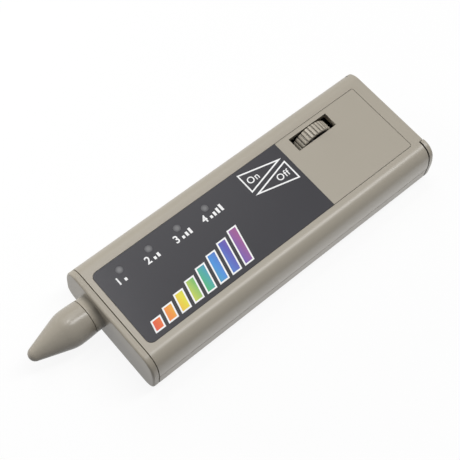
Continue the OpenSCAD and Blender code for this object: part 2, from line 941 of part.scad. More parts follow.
module trimmer() {
    size = 6;
    height = 3.6;
    rotor_d = 4.4;
    rotor_t = 0.4;
    drive = [3.2, 0.6, 1];
    color([0.2, 0.3, 0.65]) translate([trimmer_at[0], trimmer_at[1], board_top]) difference() {
        translate([-size / 2, -size / 2, 0]) cube([size, size, height]);
        rod_z(height - rotor_t, height + cut, rotor_d);
        block([-drive[0] / 2, -drive[1] / 2, height - drive[2]], [drive[0] / 2, drive[1] / 2, height + cut]);
    }
}

module regulator() {
    d = 4.6;
    lift = 0.8;
    height = 4.4;
    flat_x = 1.4;
    leg_w = 0.4;
    color(black) translate([regulator_at[0], regulator_at[1], board_top]) {
        difference() {
            rod_z(lift, lift + height, d);
            block([flat_x, -d, 0], [d, d, 2 * d]);
        }
        for (k = [-1:1]) {
            translate([-leg_w / 2, k * leg_pitch - leg_w / 2, 0]) cube([leg_w, leg_w, lift + leg_w]);
        }
    }
}

// Screws with a slotted head that faces down (way = 1) or up (way = -1)
module screw(d, length, cap_d, cap_h, way) {
    mirror([0, 0, way > 0 ? 0 : 1]) difference() {
        union() {
            rod_z(-cap_h, 0, cap_d);
            rod_z(-cap_h / 2, length, d);
        }
        block([-cap_d, -d / 8, -cap_h - cut], [cap_d, d / 8, -cap_h / 2]);
    }
}

module board_screws() {
    core_d = board_pilot_d - 2 * running_fit;
    color(steel) for (p = board_posts) {
        translate([p[0], p[1], board_top]) screw(core_d, board_screw_l, board_head_d, board_head_h, -1);
    }
}

module case_screws() {
    core_d = pilot_d - 2 * running_fit;
    color(steel) for (p = case_posts) {
        translate([p[0], p[1], head_depth]) screw(core_d, case_screw_l, head_d, head_h, 1);
    }
}

// Cells: the left one points its positive end to the rear, the right one to the front
module cell(y, way) {
    nub_d = 3.6;
    x0 = bay_front + contact_t + spring_l;
    translate([bay_mid, y, cell_z]) mirror([way < 0 ? 1 : 0, 0, 0]) translate([-bay_mid, 0, 0]) {
        rod_x(x0, x0 + cell_l - nub_l, cell_d);
        rod_x(x0 + cell_l - 2 * nub_l, x0 + cell_l, nub_d);
    }
}

module battery_cell_left() {
    color([0.55, 0.56, 0.58]) cell(cell_y[1], 1);
}

module battery_cell_right() {
    color([0.55, 0.56, 0.58]) cell(cell_y[0], -1);
}

contact_w = 8;
contact_h = 8.6;
contact_up = 4.4;
contact_top = cell_z + contact_up;
contact_low = contact_top - contact_h;
contact_bump_d = 3;

// Contact plate on a bay wall, with a bump where a cell's positive end rests
module contact(y, x0, bump) {
    block([x0, y - contact_w / 2, contact_low], [x0 + contact_t, y + contact_w / 2, contact_top]);
    if (bump != 0) {
        x1 = x0 + contact_t / 2;
        translate([0, y, cell_z]) rod_x(min(x1, x1 + bump), max(x1, x1 + bump), contact_bump_d);
    }
}

bump_reach = contact_t / 2 + bump_l;

module battery_contacts() {
    color(steel) {
        contact(cell_y[0], bay_front, bump_reach);
        contact(cell_y[1], bay_front, 0);
    }
}

module battery_link() {
    x0 = bay_rear - contact_t;
    bridge_h = 4;
    color(steel) {
        contact(cell_y[0], x0, 0);
        contact(cell_y[1], x0, -bump_reach);
        block([x0, cell_y[0], cell_z - bridge_h / 2], [bay_rear, cell_y[1], cell_z + bridge_h / 2]);
    }
}

module battery_springs() {
    wire_d = 0.6;
    turns = 4;
    base_r = 3.4;
    top_r = 2.2;
    x0 = bay_front + contact_t + wire_d / 2;
    x1 = bay_front + contact_t + spring_l - wire_d / 2;
    path = coil(x0, x1, base_r, top_r, turns, 12);
    color(steel) {
        translate([0, cell_y[1], cell_z]) wire(path, wire_d, 6, [1, 0, 0]);
        translate([2 * bay_mid, cell_y[0], cell_z]) rotate([0, 0, 180]) wire(path, wire_d, 6, [1, 0, 0]);
    }
}

module battery_leads() {
    thick = 1.1;
    exit_z = contact_top - thick;
    reach = bay_front - board_rear + lead_landing;
    drop = exit_z - board_top - fit;
    route = [[0, 0], [0.4, 0], [0.55, 0.04], [0.75, 0.18], [0.9, 0.4], [1, 0.65], [1, 1]];
    color(black) for (y = cell_y) {
        translate([bay_front, y, exit_z])
            wire([for (p = route) [-reach * p[0], 0, -drop * p[1]]], thick, 8, [0, 1, 0]);
    }
}

// Probe
module probe_sleeve() {
    taper = 0.6;
    stop_t = 0.8;
    stop_rim = 0.7;
    color(brass) on_probe() difference() {
        union() {
            rotate([0, 90, 0]) rotate_extrude() polygon([
                [0, sleeve_front],
                [sleeve_d / 2 - taper, sleeve_front],
                [sleeve_d / 2, sleeve_front + taper],
                [sleeve_d / 2, sleeve_rear],
                [0, sleeve_rear]
            ]);
            rod_x(boss_end, boss_end + stop_t, sleeve_d + 2 * stop_rim);
        }
        rod_x(sleeve_front - cut, sleeve_rear, needle_d + 2 * running_fit);
        rod_x(sleeve_front + sleeve_nose, sleeve_rear + cut, sleeve_bore);
    }
}

module probe_needle() {
    point_l = 1.6;
    point_r = 0.3;
    flange_r = sleeve_bore / 2 - running_fit;
    color(copper) on_probe() rotate([0, 90, 0]) rotate_extrude() polygon([
        [0, needle_tip],
        [point_r, needle_tip],
        [needle_d / 2, needle_tip + point_l],
        [needle_d / 2, shoulder_front],
        [flange_r, shoulder_front],
        [flange_r, shoulder_rear],
        [stem_d / 2, shoulder_rear],
        [stem_d / 2, stem_rear],
        [0, stem_rear]
    ]);
}

module probe_heater() {
    color([0.85, 0.84, 0.80]) on_probe() difference() {
        rod_x(shoulder_rear, shoulder_rear + heater_l, heater_d);
        rod_x(shoulder_rear - cut, shoulder_rear + heater_l + cut, stem_d + 2 * press_fit);
    }
}

module probe_spring() {
    wire_d = 0.3;
    heater_gap = 0.2;
    r = heater_d / 2 + heater_gap + wire_d / 2;
    x0 = shoulder_rear + wire_d / 2 + running_fit;
    x1 = bush_front - wire_d / 2 - running_fit;
    color(steel) on_probe() wire(coil(x0, x1, r, r, 6, 12), wire_d, 6, [1, 0, 0]);
}

module probe_bush() {
    stem_bore = stem_d + 2 * running_fit;
    stem_room = 2;
    color(black) on_probe() difference() {
        union() {
            rod_x(bush_front, bush_rear, sleeve_bore - 2 * press_fit);
            rod_x(sleeve_rear, bush_rear, sleeve_d);
        }
        rod_x(bush_front - cut, stem_rear + stem_room, stem_bore);
    }
}

module probe_leads() {
    drop = probe_z - board_top - fit;
    landing = 0.9;
    reach = board_front + landing - bush_rear;
    route = [[0, 0], [0.4, 0], [0.8, 0.12], [1, 0.36], [1, 0.64], [1, 1]];
    color(black) for (s = [-1, 1]) {
        translate([bush_rear, probe_y + s * lead_y, probe_z])
            wire([for (p = route) [reach * p[0], 0, -drop * p[1]]], lead_d, 8, [0, 1, 0]);
    }
}

// Pull-off cap: a barrel that runs through a soft shoulder into a cone with a round nose
cap_r = probe_cap_d / 2;
shoulder_r = 11;
nose_s = probe_cap_l - nose_r;
cone_offset = nose_s * sin(cone_angle) + nose_r;
shoulder_s = (cone_offset - shoulder_r - (cap_r - shoulder_r) * cos(cone_angle)) / sin(cone_angle);
barrel_drop = cap_r - probe_cap_mouth_d / 2;
barrel_r = (pow(shoulder_s, 2) + pow(barrel_drop, 2)) / (2 * barrel_drop);
barrel_angle = asin(shoulder_s / barrel_r);

module probe_cap() {
    end_room = 1;
    skirt_gap = 0.4;
    room_gap = 0.9;
    skirt_depth = spigot_l + skirt_gap;
    skirt_r = spigot_d / 2 + running_fit;
    room_r = sleeve_d / 2 + room_gap;
    room_depth = cap_mouth - sleeve_front + end_room;
    tip_r = needle_d / 2 + room_gap;
    tip_depth = cap_mouth - needle_tip + end_room;
    outer = concat(
        [[0, 0]],
        [for (p = arc([cap_r - barrel_r, shoulder_s], barrel_r, -barrel_angle, 0, 5)) p],
        [for (p = arc([cap_r - shoulder_r, shoulder_s], shoulder_r, cone_angle / 6, cone_angle, 5)) p],
        [for (p = arc([0, nose_s], nose_r, cone_angle, 90, 8)) p]
    );
    inner = [
        [0, -cut],
        [skirt_r, -cut],
        [skirt_r, skirt_depth],
        [room_r, skirt_depth],
        [room_r, room_depth],
        [tip_r, tip_depth],
        [0, tip_depth]
    ];
    color(plastic) translate([cap_mouth, probe_y, probe_z]) rotate([0, -90, 0]) difference() {
        rotate_extrude() polygon(outer);
        rotate_extrude() polygon(inner);
    }
}

// Battery door with finger grooves near its rear end
module battery_door() {
    low_y = bay_y0 + fit;
    high_y = bay_y1 - fit;
    grip = [0.9, 12, 1];
    grip_pitch = 1.8;
    grip_start = 8;
    color(plastic) difference() {
        union() {
            block([door_front, low_y, door_z], [rear_face, high_y, door_t]);
            block([door_front, low_y - rail_w, rail_z], [case_l - fit, high_y + rail_w, rail_z + rail_t]);
        }
        for (i = [0:6]) {
            x = case_l - grip_start - grip_pitch * i;
            translate([x, (low_y + high_y) / 2, door_z]) cube(grip, center = true);
        }
    }
}

centred() top_shell();
centred() bottom_shell();
centred() front_end_cap();
centred() rear_end_cap();
centred() face_plate();
centred() face_label();
centred() lamp_windows();
centred() thumbwheel();
centred() wheel_shaft();
centred() wheel_screw();
centred() switch_body();
centred() switch_terminals();
centred() circuit_board();
centred() indicator_led(1);  // indicator_led_1
centred() indicator_led(2);  // indicator_led_2
centred() indicator_led(3);  // indicator_led_3
centred() indicator_led(4);  // indicator_led_4
centred() led_spacers();
centred() controller_chip();
centred() amplifier_chip();
centred() buzzer();
centred() capacitors();
centred() resistors();
centred() trimmer();
centred() regulator();
centred() board_screws();
centred() case_screws();
centred() battery_cell_left();
centred() battery_cell_right();
centred() battery_contacts();
centred() battery_link();
centred() battery_springs();
centred() battery_leads();
centred() probe_sleeve();
centred() probe_needle();
centred() probe_heater();
centred() probe_spring();
centred() probe_bush();
centred() probe_leads();
centred() probe_cap();
centred() battery_door();
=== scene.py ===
"""Looks of a pocket gemstone tester: the finish of each piece, the print on its label and a plain studio.

Metres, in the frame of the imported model: X runs from the probe to the rear, Y to the lamp side, Z up.
"""

import math

import bmesh
import bpy
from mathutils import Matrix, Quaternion, Vector


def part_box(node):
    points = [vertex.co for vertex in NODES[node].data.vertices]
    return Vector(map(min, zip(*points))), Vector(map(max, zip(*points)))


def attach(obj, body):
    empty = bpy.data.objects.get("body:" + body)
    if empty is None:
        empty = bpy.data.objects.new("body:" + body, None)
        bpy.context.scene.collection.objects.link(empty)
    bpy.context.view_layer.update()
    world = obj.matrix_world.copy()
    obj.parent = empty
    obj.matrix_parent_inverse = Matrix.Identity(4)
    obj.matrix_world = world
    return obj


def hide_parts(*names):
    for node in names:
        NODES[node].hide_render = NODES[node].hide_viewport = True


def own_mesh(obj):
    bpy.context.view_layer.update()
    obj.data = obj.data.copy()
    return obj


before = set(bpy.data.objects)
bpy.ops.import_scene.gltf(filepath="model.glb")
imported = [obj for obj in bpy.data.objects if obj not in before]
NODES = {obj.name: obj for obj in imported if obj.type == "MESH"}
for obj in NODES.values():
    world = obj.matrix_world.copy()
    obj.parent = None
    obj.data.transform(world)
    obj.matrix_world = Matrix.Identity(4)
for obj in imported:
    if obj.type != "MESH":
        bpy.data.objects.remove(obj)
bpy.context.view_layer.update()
SCENE = bpy.context.scene
MM = 0.001

# Colours, linear
BEIGE = (0.372, 0.337, 0.276)
CAP_BEIGE = (0.342, 0.309, 0.253)
# Painted light: the thumbwheel's beige, lighter than the case's though of the same plastic
LIT_WHEEL_BEIGE = (0.440, 0.398, 0.326)
LABEL_GREY = (0.038, 0.037, 0.043)
# Painted shade: the dark colour mixed into plastic in grooves, gaps and seams, where shade falls
PAINTED_SHADE = (0.070, 0.060, 0.048, 1)
LENS_GREY = (0.165, 0.165, 0.170)
INK_WHITE = (0.86, 0.86, 0.86)
BLACK = (0.012, 0.012, 0.013)
BLUE = (0.020, 0.065, 0.240)
BOARD_GREEN = (0.010, 0.085, 0.040)
STEEL = (0.50, 0.50, 0.52)
NICKEL = (0.60, 0.58, 0.53)
BRASS = (0.62, 0.42, 0.13)
COPPER = (0.62, 0.25, 0.12)
CERAMIC = (0.70, 0.68, 0.62)
CELL_BLUE = (0.030, 0.070, 0.160)
CELL_BAND = (0.45, 0.46, 0.48)
WIRE_RED = (0.33, 0.018, 0.012)
LED_COLOURS = [(0.75, 0.35, 0.02), (0.05, 0.45, 0.06), (0.60, 0.02, 0.015), (0.03, 0.10, 0.60)]
SPECTRUM = [
    (0.00, (0.72, 0.045, 0.025)),
    (0.18, (0.85, 0.270, 0.020)),
    (0.34, (0.80, 0.720, 0.040)),
    (0.52, (0.040, 0.420, 0.130)),
    (0.70, (0.045, 0.260, 0.680)),
    (0.86, (0.085, 0.075, 0.420)),
    (1.00, (0.300, 0.070, 0.260)),
]
LIGHT_WHITE = (1, 1, 1, 1)

# Node trees
NOISE_LOW = 0.3
NOISE_HIGH = 0.7


def add(tree, kind, links=None, **settings):
    """One node: settings are its attributes or input values, links are the sockets that feed it."""
    node = tree.nodes.new(kind)
    for key, value in settings.items():
        if hasattr(node, key):
            setattr(node, key, value)
        else:
            node.inputs[key.replace("_", " ")].default_value = value
    for key, source in (links or {}).items():
        tree.links.new(source, node.inputs[key])
    return node


def math_node(tree, operation, first, second=None, third=None):
    """A sum on sockets and plain numbers."""
    node = add(tree, "ShaderNodeMath", operation=operation)
    for index, value in enumerate((first, second, third)):
        if isinstance(value, bpy.types.NodeSocket):
            tree.links.new(value, node.inputs[index])
        elif value is not None:
            node.inputs[index].default_value = value
    return node.outputs[0]


def radial(tree, first, second):
    """Distance from an axis, by the two offsets from it."""
    squares = [math_node(tree, "MULTIPLY", side, side) for side in (first, second)]
    return math_node(tree, "SQRT", math_node(tree, "ADD", *squares))


def place(tree):
    """The point on the object, in metres."""
    return add(tree, "ShaderNodeTexCoord").outputs["Object"]


def axis(tree, name):
    """One coordinate of the point on the object."""
    return add(tree, "ShaderNodeSeparateXYZ", {"Vector": place(tree)}).outputs[name]


def noise(tree, size, detail=2.0, stretch=(1, 1, 1)):
    """Noise in grains about size metres wide, drawn out along the axes where stretch is small."""
    point = add(tree, "ShaderNodeMapping", {"Vector": place(tree)}, Scale=stretch).outputs["Vector"]
    return add(tree, "ShaderNodeTexNoise", {"Vector": point}, Scale=1 / size, Detail=detail).outputs["Fac"]


def spread(tree, value, low, high, start=NOISE_LOW, end=NOISE_HIGH):
    """Maps a range of a value, by default the middle of a noise, onto low to high."""
    node = add(tree, "ShaderNodeMapRange", {"Value": value}, From_Min=start, From_Max=end,
               To_Min=low, To_Max=high)
    return node.outputs["Result"]


def shade(colour, factor):
    """A colour made lighter or darker."""
    return tuple(min(1.0, c * factor) for c in colour) + (1.0,)


def blend(tree, factor, first, second):
    """Mixes two colours, each a socket or a plain colour."""
    node = add(tree, "ShaderNodeMix", {"Factor": factor}, data_type="RGBA")
    for name, colour in (("A_Color", first), ("B_Color", second)):
        socket = next(s for s in node.inputs if s.identifier == name)
        if isinstance(colour, bpy.types.NodeSocket):
            tree.links.new(colour, socket)
        else:
            socket.default_value = colour
    return next(s for s in node.outputs if s.identifier == "Result_Color")


def bump(tree, height, depth, below=None):
    """Bump of a depth in metres, on top of another bump if there is one."""
    links = {"Height": height}
    if below is not None:
        links["Normal"] = below
    return add(tree, "ShaderNodeBump", links, Strength=1.0, Distance=depth).outputs["Normal"]


def start_material(name, **shader):
    """A new material, with plain values on its shader."""
    material = bpy.data.materials.new(name)
    material.use_nodes = True
    bsdf = material.node_tree.nodes["Principled BSDF"]
    for key, value in shader.items():
        bsdf.inputs[key.replace("_", " ")].default_value = value
    return material, material.node_tree, bsdf


def connect(tree, bsdf, **sockets):
    """Feeds inputs of the shader."""
    for key, source in sockets.items():
        tree.links.new(source, bsdf.inputs[key.replace("_", " ")])


# Finishes: grains and bumps in metres, tints and painted shade as shares of the colour
MOTTLE = 16 * MM
SMEAR = 6 * MM
FLECKS = 0.4
MOULD_GRAIN = 0.30 * MM
MOULD_BUMP = 0.002 * MM
GLOSS_DRIFT = 0.01


def mottled(tree, colour, tint, grain):
    """A colour that drifts slowly and is flecked finely."""
    drift = blend(tree, noise(tree, MOTTLE, detail=3.0), shade(colour, 1 - tint), shade(colour, 1 + tint))
    flecks = spread(tree, noise(tree, grain), 0.0, FLECKS)
    return blend(tree, flecks, drift, shade(colour, 1 - 2 * tint))


def moulded_plastic(name, colour, roughness=0.31, tint=0.02, grain=MOULD_GRAIN, **shader):
    """Moulded plastic with a fine spark-eroded grain and a slight waviness."""
    material, tree, bsdf = start_material(name, **shader)
    wave = bump(tree, noise(tree, SMEAR, detail=1.0), MOULD_BUMP)
    normal = bump(tree, noise(tree, grain), MOULD_BUMP, wave)
    gloss = spread(tree, noise(tree, SMEAR), roughness - GLOSS_DRIFT, roughness + GLOSS_DRIFT,
                   start=0.2, end=0.8)
    connect(tree, bsdf, Base_Color=mottled(tree, colour, tint, grain), Roughness=gloss, Normal=normal)
    return material


def add_painted_shade(material, share):
    """Paints shade on a finish: darkens it towards the dark shade colour where share is 1."""
    tree = material.node_tree
    bsdf = tree.nodes["Principled BSDF"]
    unshaded = bsdf.inputs["Base Color"].links[0].from_socket
    # Painted shade: the finish's colour is mixed towards the dark shade colour
    connect(tree, bsdf, Base_Color=blend(tree, share, unshaded, PAINTED_SHADE))


# Painted shade in the wheel's grooves and on its side faces near the rim, by the depth below its rim: it
# comes in over the first pair and goes out over the second
WHEEL_SHADE_SHARE = 0.5
GROOVE_UNSHADED = 0.10 * MM
GROOVE_SHADED = 0.35 * MM
FACE_SHADED = 0.60 * MM
FACE_UNSHADED = 0.90 * MM


def wheel_plastic(low, high, colour):
    """Moulded plastic of a wheel that turns about Y, with painted shade in the grooves of its rim."""
    material = moulded_plastic("wheel_plastic", colour)
    tree = material.node_tree
    radius = (high[0] - low[0]) / 2
    across = math_node(tree, "SUBTRACT", axis(tree, "X"), (low[0] + high[0]) / 2)
    up = math_node(tree, "SUBTRACT", axis(tree, "Z"), (low[2] + high[2]) / 2)
    reach = radial(tree, across, up)
    groove = spread(tree, reach, WHEEL_SHADE_SHARE, 0.0, radius - GROOVE_SHADED, radius - GROOVE_UNSHADED)
    rim = spread(tree, reach, 0.0, 1.0, radius - FACE_UNSHADED, radius - FACE_SHADED)
    # Painted shade: darkens the grooves of the rim and a ring of each side face at the same depth
    add_painted_shade(material, math_node(tree, "MULTIPLY", groove, rim))
    return material


# Painted shade in the gap before the rear cap's outer plate, by the distance behind the face that closes it
GAP_SHADE_SHARE = 0.95
GAP_SHADED = 0.10 * MM
GAP_UNSHADED = 0.20 * MM


def rear_cap_plastic(inner_face, colour):
    """Moulded plastic of the rear cap, with painted shade in the gap before its outer plate."""
    material = moulded_plastic("rear_cap_plastic", colour)
    tree = material.node_tree
    share = spread(tree, axis(tree, "X"), GAP_SHADE_SHARE, 0.0, inner_face + GAP_SHADED, inner_face + GAP_UNSHADED)
    # Painted shade: darkens the rear cap in front of its outer plate, where the gap is
    add_painted_shade(material, share)
    return material


# Painted shade along the face plate, by the distance from its outline
SEAM_SHADE_SHARE = 0.45
SEAM_SHADED = 0.05 * MM
SEAM_UNSHADED = 0.25 * MM


def plate_plastic(low, high, colour):
    """Moulded plastic of the face plate, with a little painted shade along its outline."""
    material = moulded_plastic("plate_plastic", colour)
    tree = material.node_tree
    inward = []
    for name, start, end in (("X", low[0], high[0]), ("Y", low[1], high[1])):
        from_start = math_node(tree, "SUBTRACT", axis(tree, name), start)
        from_end = math_node(tree, "SUBTRACT", end, axis(tree, name))
        inward.append(math_node(tree, "MINIMUM", from_start, from_end))
    nearest = math_node(tree, "MINIMUM", *inward)
    # Painted shade: darkens the plate's rim along its outline, where the seam is
    add_painted_shade(material, spread(tree, nearest, SEAM_SHADE_SHARE, 0.0, SEAM_SHADED, SEAM_UNSHADED))
    return material


# Lamp windows: the pale middle as a share of the radius, and how much lighter than the label the rim is
LENS_CORE = 0.35
LENS_RIM_SHADE = 1.15
LENS_GRAIN = 0.25 * MM
LENS_SMEAR = 0.8 * MM
LENS_BUMP = 0.004 * MM


def lamp_lens(first_x, pitch, lamp_y, radius):
    """Tinted windows that are palest in the middle of each lamp."""
    material, tree, bsdf = start_material("lamp_lens", IOR=1.49, Transmission_Weight=0.15)
    behind_first = math_node(tree, "SUBTRACT", axis(tree, "X"), first_x)
    along = math_node(tree, "WRAP", behind_first, pitch / 2, -pitch / 2)
    across = math_node(tree, "SUBTRACT", axis(tree, "Y"), lamp_y)
    rim = spread(tree, radial(tree, along, across), 0.0, 1.0, LENS_CORE * radius, radius)
    middle = mottled(tree, LENS_GREY, tint=0.03, grain=LENS_GRAIN)
    colour = blend(tree, rim, middle, shade(LABEL_GREY, LENS_RIM_SHADE))
    normal = bump(tree, noise(tree, LENS_GRAIN), LENS_BUMP)
    gloss = spread(tree, noise(tree, LENS_SMEAR), low=0.32, high=0.42)
    connect(tree, bsdf, Base_Color=colour, Roughness=gloss, Normal=normal)
    return material


INK_GRAIN = 0.12 * MM
INK_BUMP = 0.003 * MM
INK_SPECKLE = 0.12


def printing_ink(name, colour):
    """Screen-printed ink, a little uneven."""
    return moulded_plastic(name, colour, roughness=0.48, tint=0.012, grain=INK_GRAIN)


def spectrum_ink(start, end):
    """Ink whose hue runs through the spectrum along the body."""
    material, tree, bsdf = start_material("spectrum_ink")
    ramp = add(tree, "ShaderNodeValToRGB", {"Fac": spread(tree, axis(tree, "X"), 0.0, 1.0, start, end)})
    stops = ramp.color_ramp.elements
    while len(stops) < len(SPECTRUM):
        stops.new(0.5)
    for stop, (position, colour) in zip(stops, SPECTRUM):
        stop.position = position
        stop.color = colour + (1.0,)
    speckle = spread(tree, noise(tree, INK_GRAIN), 0.0, INK_SPECKLE)
    uneven = blend(tree, speckle, ramp.outputs["Color"], shade(LABEL_GREY, 1.0))
    normal = bump(tree, noise(tree, INK_GRAIN), INK_BUMP)
    gloss = spread(tree, noise(tree, SMEAR), low=0.42, high=0.52)
    connect(tree, bsdf, Base_Color=uneven, Roughness=gloss, Normal=normal)
    return material


# Metal: how far tool marks change the roughness, and the shades between which tarnish goes
TOOL_MARK = 0.12 * MM
TOOL_BUMP = 0.004 * MM
MARK_SMOOTHER = 0.08
MARK_ROUGHER = 0.10
TARNISH_PATCH = 2.5 * MM
TARNISH = 0.5
BRIGHT_SHADE = 1.06
DULL_SHADE = 0.82
EVEN = (1, 1, 1)
ALONG_Z = (1, 1, 0.1)
AROUND_X = (1, 0.1, 0.1)


def worked_metal(name, colour, roughness, lay):
    """Metal with fine tool marks that run along the axes where lay is small."""
    material, tree, bsdf = start_material(name, Metallic=1.0)
    marks = noise(tree, TOOL_MARK, detail=3.0, stretch=lay)
    tarnish = spread(tree, noise(tree, TARNISH_PATCH, detail=3.0), 0.0, TARNISH)
    worn = blend(tree, tarnish, shade(colour, BRIGHT_SHADE), shade(colour, DULL_SHADE))
    gloss = spread(tree, marks, roughness - MARK_SMOOTHER, roughness + MARK_ROUGHER)
    connect(tree, bsdf, Base_Color=worn, Roughness=gloss, Normal=bump(tree, marks, TOOL_BUMP))
    return material


BOARD_GRAIN = 0.2 * MM
TRACK_BUMP = 0.03 * MM
TRACK_SHADE = 1.9


def board_laminate():
    """Green solder mask over copper tracks."""
    material, tree, bsdf = start_material("board_laminate")
    tracks = add(tree, "ShaderNodeTexBrick", {"Vector": place(tree)}, Scale=170.0, Mortar_Size=0.025,
                 Mortar_Smooth=0.2, Brick_Width=0.9, Row_Height=0.25)
    lines = tracks.outputs["Fac"]
    ground = mottled(tree, BOARD_GREEN, tint=0.06, grain=BOARD_GRAIN)
    colour = blend(tree, lines, ground, shade(BOARD_GREEN, TRACK_SHADE))
    gloss = spread(tree, noise(tree, SMEAR), low=0.22, high=0.34)
    connect(tree, bsdf, Base_Color=colour, Roughness=gloss, Normal=bump(tree, lines, TRACK_BUMP))
    return material


# Battery cells: the band's middle and half width as shares of the length
BAND_MIDDLE = 0.16
BAND_HALF = 0.05
CELL_GRAIN = 0.3 * MM
CELL_DENT = 1.5 * MM
CELL_BUMP = 0.02 * MM


def cell_wrap(start, length):
    """Plain wrapped can: a pale band near one end of a dark sleeve."""
    material, tree, bsdf = start_material("cell_wrap", Metallic=0.3)
    along = spread(tree, axis(tree, "X"), 0.0, 1.0, start, start + length)
    band = math_node(tree, "COMPARE", along, BAND_MIDDLE, BAND_HALF)
    sleeve = mottled(tree, CELL_BLUE, tint=0.05, grain=CELL_GRAIN)
    colour = blend(tree, band, sleeve, shade(CELL_BAND, 1.0))
    gloss = spread(tree, noise(tree, SMEAR), low=0.26, high=0.36)
    normal = bump(tree, noise(tree, CELL_DENT), CELL_BUMP)
    connect(tree, bsdf, Base_Color=colour, Roughness=gloss, Normal=normal)
    return material


def led_epoxy(name, colour):
    """Tinted clear epoxy."""
    return moulded_plastic(name, colour, roughness=0.16, tint=0.04, Transmission_Weight=0.55, IOR=1.53)


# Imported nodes
WELD = 0.002 * MM
FLAT_ANGLE = math.radians(0.4)
SHARP_ANGLE = math.radians(35)
EDGE_STEPS = 3


def welded_smooth():
    """Node group that joins split vertices and shades smooth, so that edges can be rounded."""
    group = bpy.data.node_groups.new("welded_smooth", "GeometryNodeTree")
    for way in ("INPUT", "OUTPUT"):
        group.interface.new_socket("Geometry", in_out=way, socket_type="NodeSocketGeometry")
    start = add(group, "NodeGroupInput")
    weld = add(group, "GeometryNodeMergeByDistance", {"Geometry": start.outputs[0]}, Distance=WELD)
    smooth = add(group, "GeometryNodeSetShadeSmooth", {"Geometry": weld.outputs["Geometry"]})
    add(group, "NodeGroupOutput", {0: smooth.outputs["Geometry"]})
    return group


def marked_edges():
    """Node group that marks the sharp convex edges outside an inner box, for rounding."""
    group = bpy.data.node_groups.new("marked_edges", "GeometryNodeTree")
    group.interface.new_socket("Geometry", in_out="INPUT", socket_type="NodeSocketGeometry")
    for corner in ("Low", "High"):
        group.interface.new_socket(corner, in_out="INPUT", socket_type="NodeSocketVector")
    group.interface.new_socket("Geometry", in_out="OUTPUT", socket_type="NodeSocketGeometry")
    start = add(group, "NodeGroupInput")
    angle = add(group, "GeometryNodeInputMeshEdgeAngle").outputs["Signed Angle"]
    sharp = add(group, "FunctionNodeCompare", {"A": angle}, operation="GREATER_THAN", B=SHARP_ANGLE)
    point = add(group, "GeometryNodeInputPosition").outputs[0]
    sides = []
    for corner, operation in (("Low", "GREATER_THAN"), ("High", "LESS_THAN")):
        side = add(group, "FunctionNodeCompare", data_type="VECTOR", mode="ELEMENT", operation=operation)
        first, second = [s for s in side.inputs if s.enabled][:2]
        group.links.new(point, first)
        group.links.new(start.outputs[corner], second)
        sides.append(side.outputs[0])
    inside = add(group, "FunctionNodeBooleanMath", {0: sides[0], 1: sides[1]}, operation="AND")
    marked = add(group, "FunctionNodeBooleanMath", {0: sharp.outputs[0], 1: inside.outputs[0]},
                 operation="NIMPLY")
    store = add(group, "GeometryNodeStoreNamedAttribute", {"Geometry": start.outputs["Geometry"]},
                data_type="FLOAT", domain="EDGE", Name="bevel_weight_edge")
    value = next(s for s in store.inputs if s.name == "Value" and s.enabled)
    group.links.new(marked.outputs[0], value)
    add(group, "NodeGroupOutput", {0: store.outputs[0]})
    return group


WELDED = welded_smooth()
MARKED = marked_edges()


def dress(names, material):
    """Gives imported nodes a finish."""
    for name in names:
        mesh = NODES[name].data
        mesh.materials.clear()
        mesh.materials.append(material)


def soften(name, radius, low, high):
    """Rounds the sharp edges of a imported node, apart from those within a box; all in millimetres."""
    corners = {"Low": [v * MM for v in low], "High": [v * MM for v in high]}
    piece = NODES[name]
    piece.modifiers.new("weld", "NODES").node_group = WELDED
    flats = piece.modifiers.new("flats", "DECIMATE")
    flats.decimate_type = "DISSOLVE"
    flats.angle_limit = FLAT_ANGLE
    marks = piece.modifiers.new("marks", "NODES")
    marks.node_group = MARKED
    for item in MARKED.interface.items_tree:
        if item.name in corners:
            marks[item.identifier] = corners[item.name]
    edges = piece.modifiers.new("edges", "BEVEL")
    edges.width = radius * MM
    edges.segments = EDGE_STEPS
    edges.use_clamp_overlap = False
    edges.loop_slide = False
    edges.limit_method = "WEIGHT"
    piece.modifiers.new("normals", "WEIGHTED_NORMAL")


# Places of the lamp windows, which stand in a row of equal steps
LAMPS = 4
LAMP_R = 1.2 * MM
LENS_LOW, LENS_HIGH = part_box("lamp_windows")
LENS_R = (LENS_HIGH[1] - LENS_LOW[1]) / 2
LAMP_X = LENS_LOW[0] + LENS_R
LAMP_Y = LENS_LOW[1] + LENS_R
LAMP_PITCH = (LENS_HIGH[0] - LENS_LOW[0] - 2 * LENS_R) / (LAMPS - 1)

CELL_LOW, CELL_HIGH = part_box("battery_cell_left")
REAR_PLATE = 1.9 * MM
GAP_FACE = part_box("rear_end_cap")[1][0] - REAR_PLATE

dress(["top_shell", "bottom_shell", "battery_door"], moulded_plastic("shell_plastic", BEIGE))
dress(["front_end_cap"], moulded_plastic("front_cap_plastic", BEIGE, Specular_IOR_Level=0.3))
dress(["face_plate"], plate_plastic(*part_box("face_plate"), BEIGE))
dress(["probe_cap"], moulded_plastic("cap_plastic", CAP_BEIGE, roughness=0.26))
